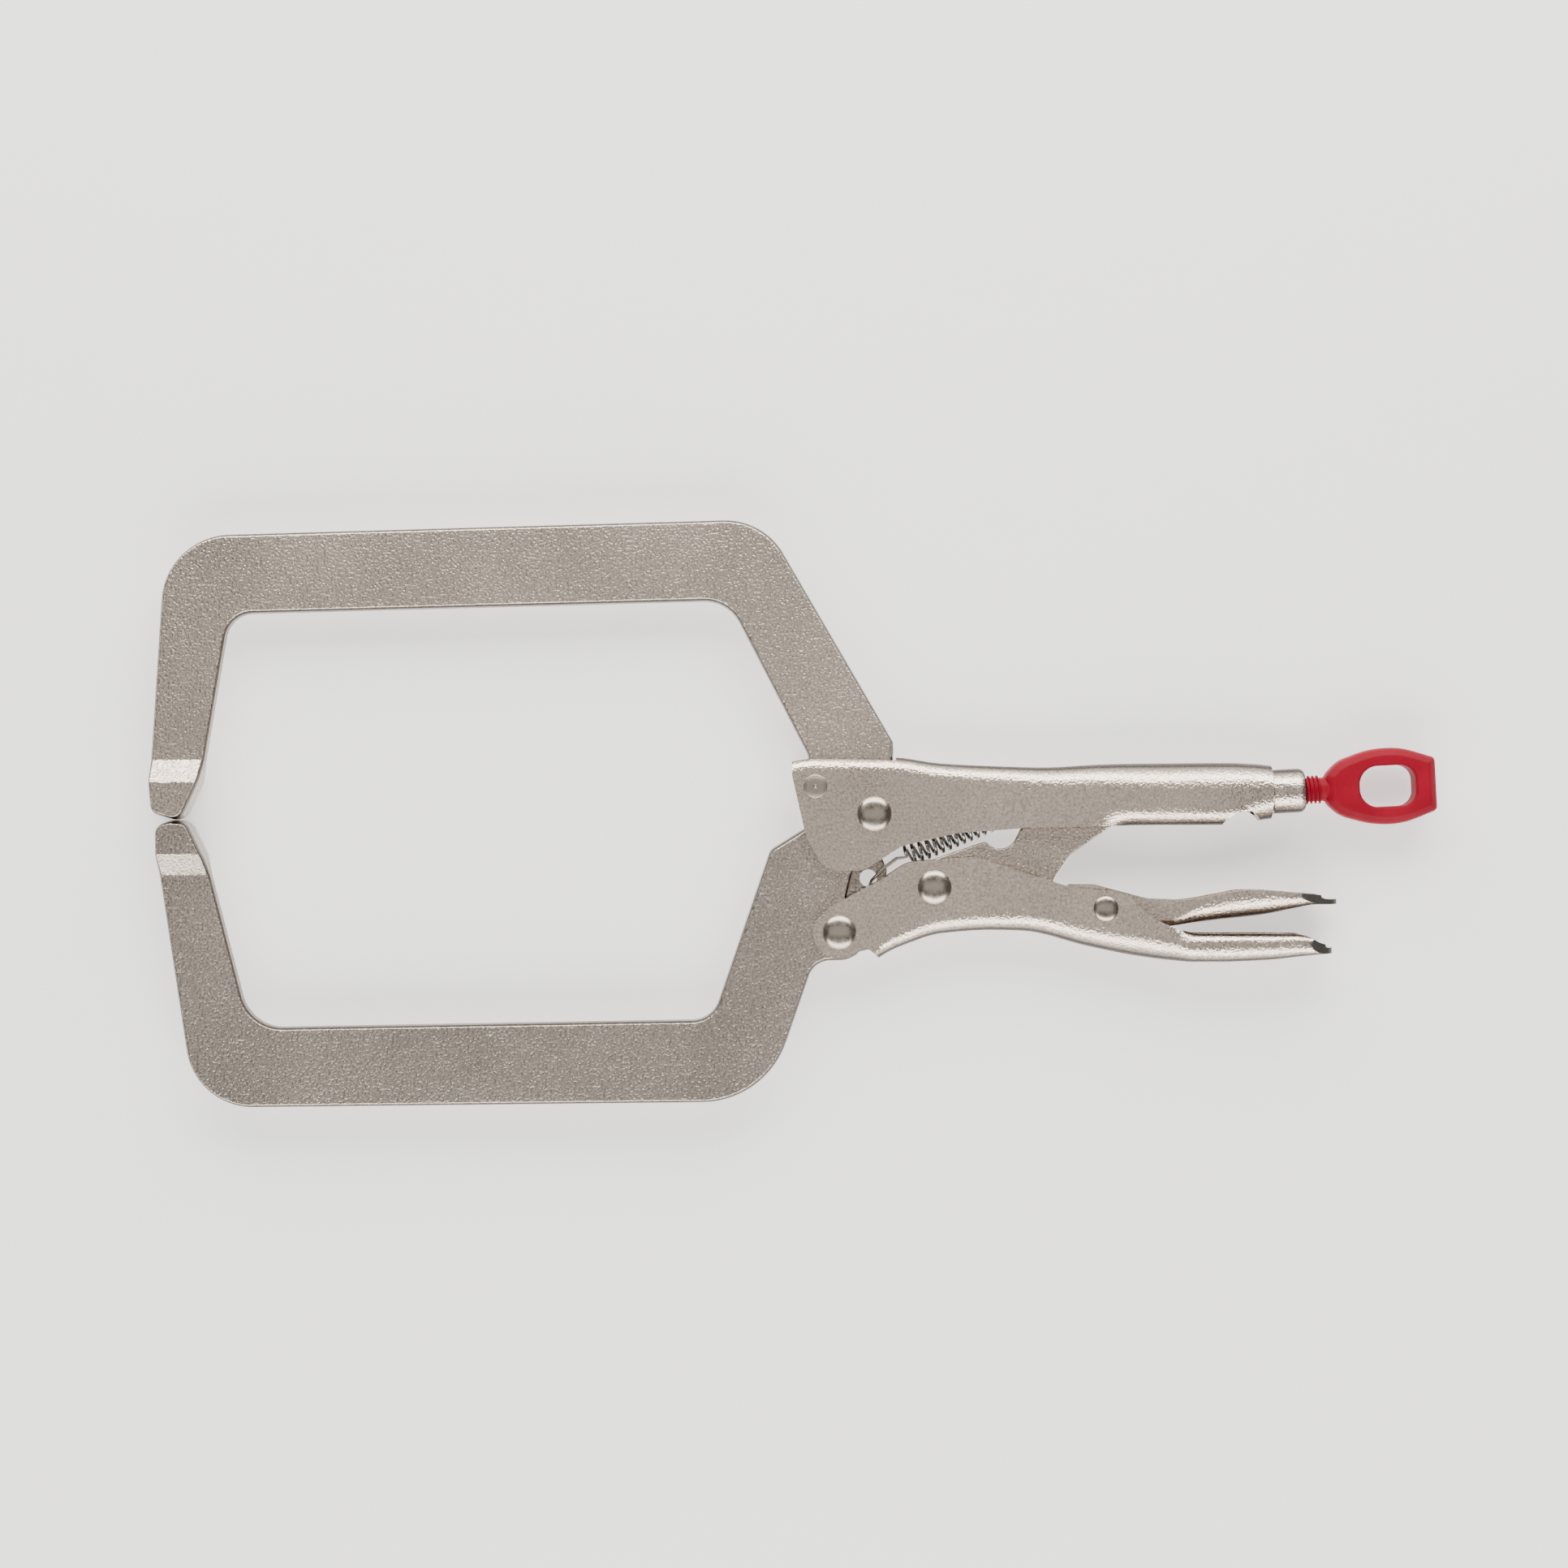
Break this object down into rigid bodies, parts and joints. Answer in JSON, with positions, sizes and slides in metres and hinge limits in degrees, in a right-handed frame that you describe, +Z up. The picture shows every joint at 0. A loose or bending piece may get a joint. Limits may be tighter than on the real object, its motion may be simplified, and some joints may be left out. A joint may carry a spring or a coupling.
{
  "type": "locking c clamp",
  "caption": "Locking C clamp with forged bow jaws, pressed channel handles, a toggle link, a release lever and a ring-ended adjusting screw.",
  "frame": {"origin": "centre of the footprint of the clamp lying flat on its side, on the floor plane", "axes": "+X along the length from the jaw tips to the ring, +Y toward the fixed upper jaw, +Z up through the thickness of the plates"},
  "size_m": [0.46, 0.21, 0.02],
  "materials": {
    "forged_nickel": "satin nickel over a shot-blasted forging",
    "sheet_nickel": "satin nickel over pressed sheet",
    "collar_nickel": "satin nickel, turned",
    "polished_rivets": "polished, lightly dented",
    "spring_steel": "bright drawn wire",
    "screw_steel": "plain turned steel",
    "red_coating": "red powder coat, fine texture"
  },
  "bodies": {
    "handle": {"upper_jaw": "forged_nickel", "upper_handle": "sheet_nickel", "jaw_pin": "polished_rivets", "main_rivet": "polished_rivets", "threaded_collar": "collar_nickel", "return_spring": "spring_steel"},
    "lower_jaw": {"lower_jaw": "forged_nickel"},
    "lever": {"lower_handle": "sheet_nickel", "lever_rivet": "polished_rivets", "link_rivet": "polished_rivets", "release_rivet": "polished_rivets"},
    "link": {"toggle_link": "forged_nickel"},
    "release": {"release_lever": "sheet_nickel"},
    "screw": {"adjusting_screw": "screw_steel"},
    "ring": {"screw_ring": "red_coating"}
  },
  "joints": [
    {"name": "jaw_pivot", "type": "hinge", "parent": "handle", "child": "lower_jaw", "pos_m": [0.02883, 0.00004, 0.01], "axis": [0, 0, 1], "range_deg": [0, 15], "deforming": ["return_spring"]},
    {"name": "lever_pivot", "type": "hinge", "parent": "lower_jaw", "child": "lever", "pos_m": [0.01633, -0.04216, 0.01], "axis": [0, 0, 1], "range_deg": [-50, 0]},
    {"name": "link_pivot", "type": "hinge", "parent": "lever", "child": "link", "pos_m": [0.05023, -0.02606, 0.01], "axis": [0, 0, 1], "range_deg": [0, 56]},
    {"name": "release_pivot", "type": "hinge", "parent": "lever", "child": "release", "pos_m": [0.11113, -0.03366, 0.01], "axis": [0, 0, 1], "range_deg": [-5.5, 0]},
    {"name": "screw_advance", "type": "slide", "parent": "handle", "child": "screw", "axis": [0.9987, 0.0506, 0], "range_m": [0, 0.018]},
    {"name": "ring_turn", "type": "hinge", "parent": "screw", "child": "ring", "pos_m": [0.18083, 0.00834, 0.01], "axis": [0.9987, 0.0506, 0], "range_deg": [0, 4320]}
  ],
  "couplings": [
    {"joint": "lever_pivot", "follows": "jaw_pivot", "ratio": -3.2667},
    {"joint": "link_pivot", "follows": "jaw_pivot", "ratio": 3.7},
    {"joint": "ring_turn", "follows": "screw_advance", "rad_per_m": 4188.8}
  ]
}
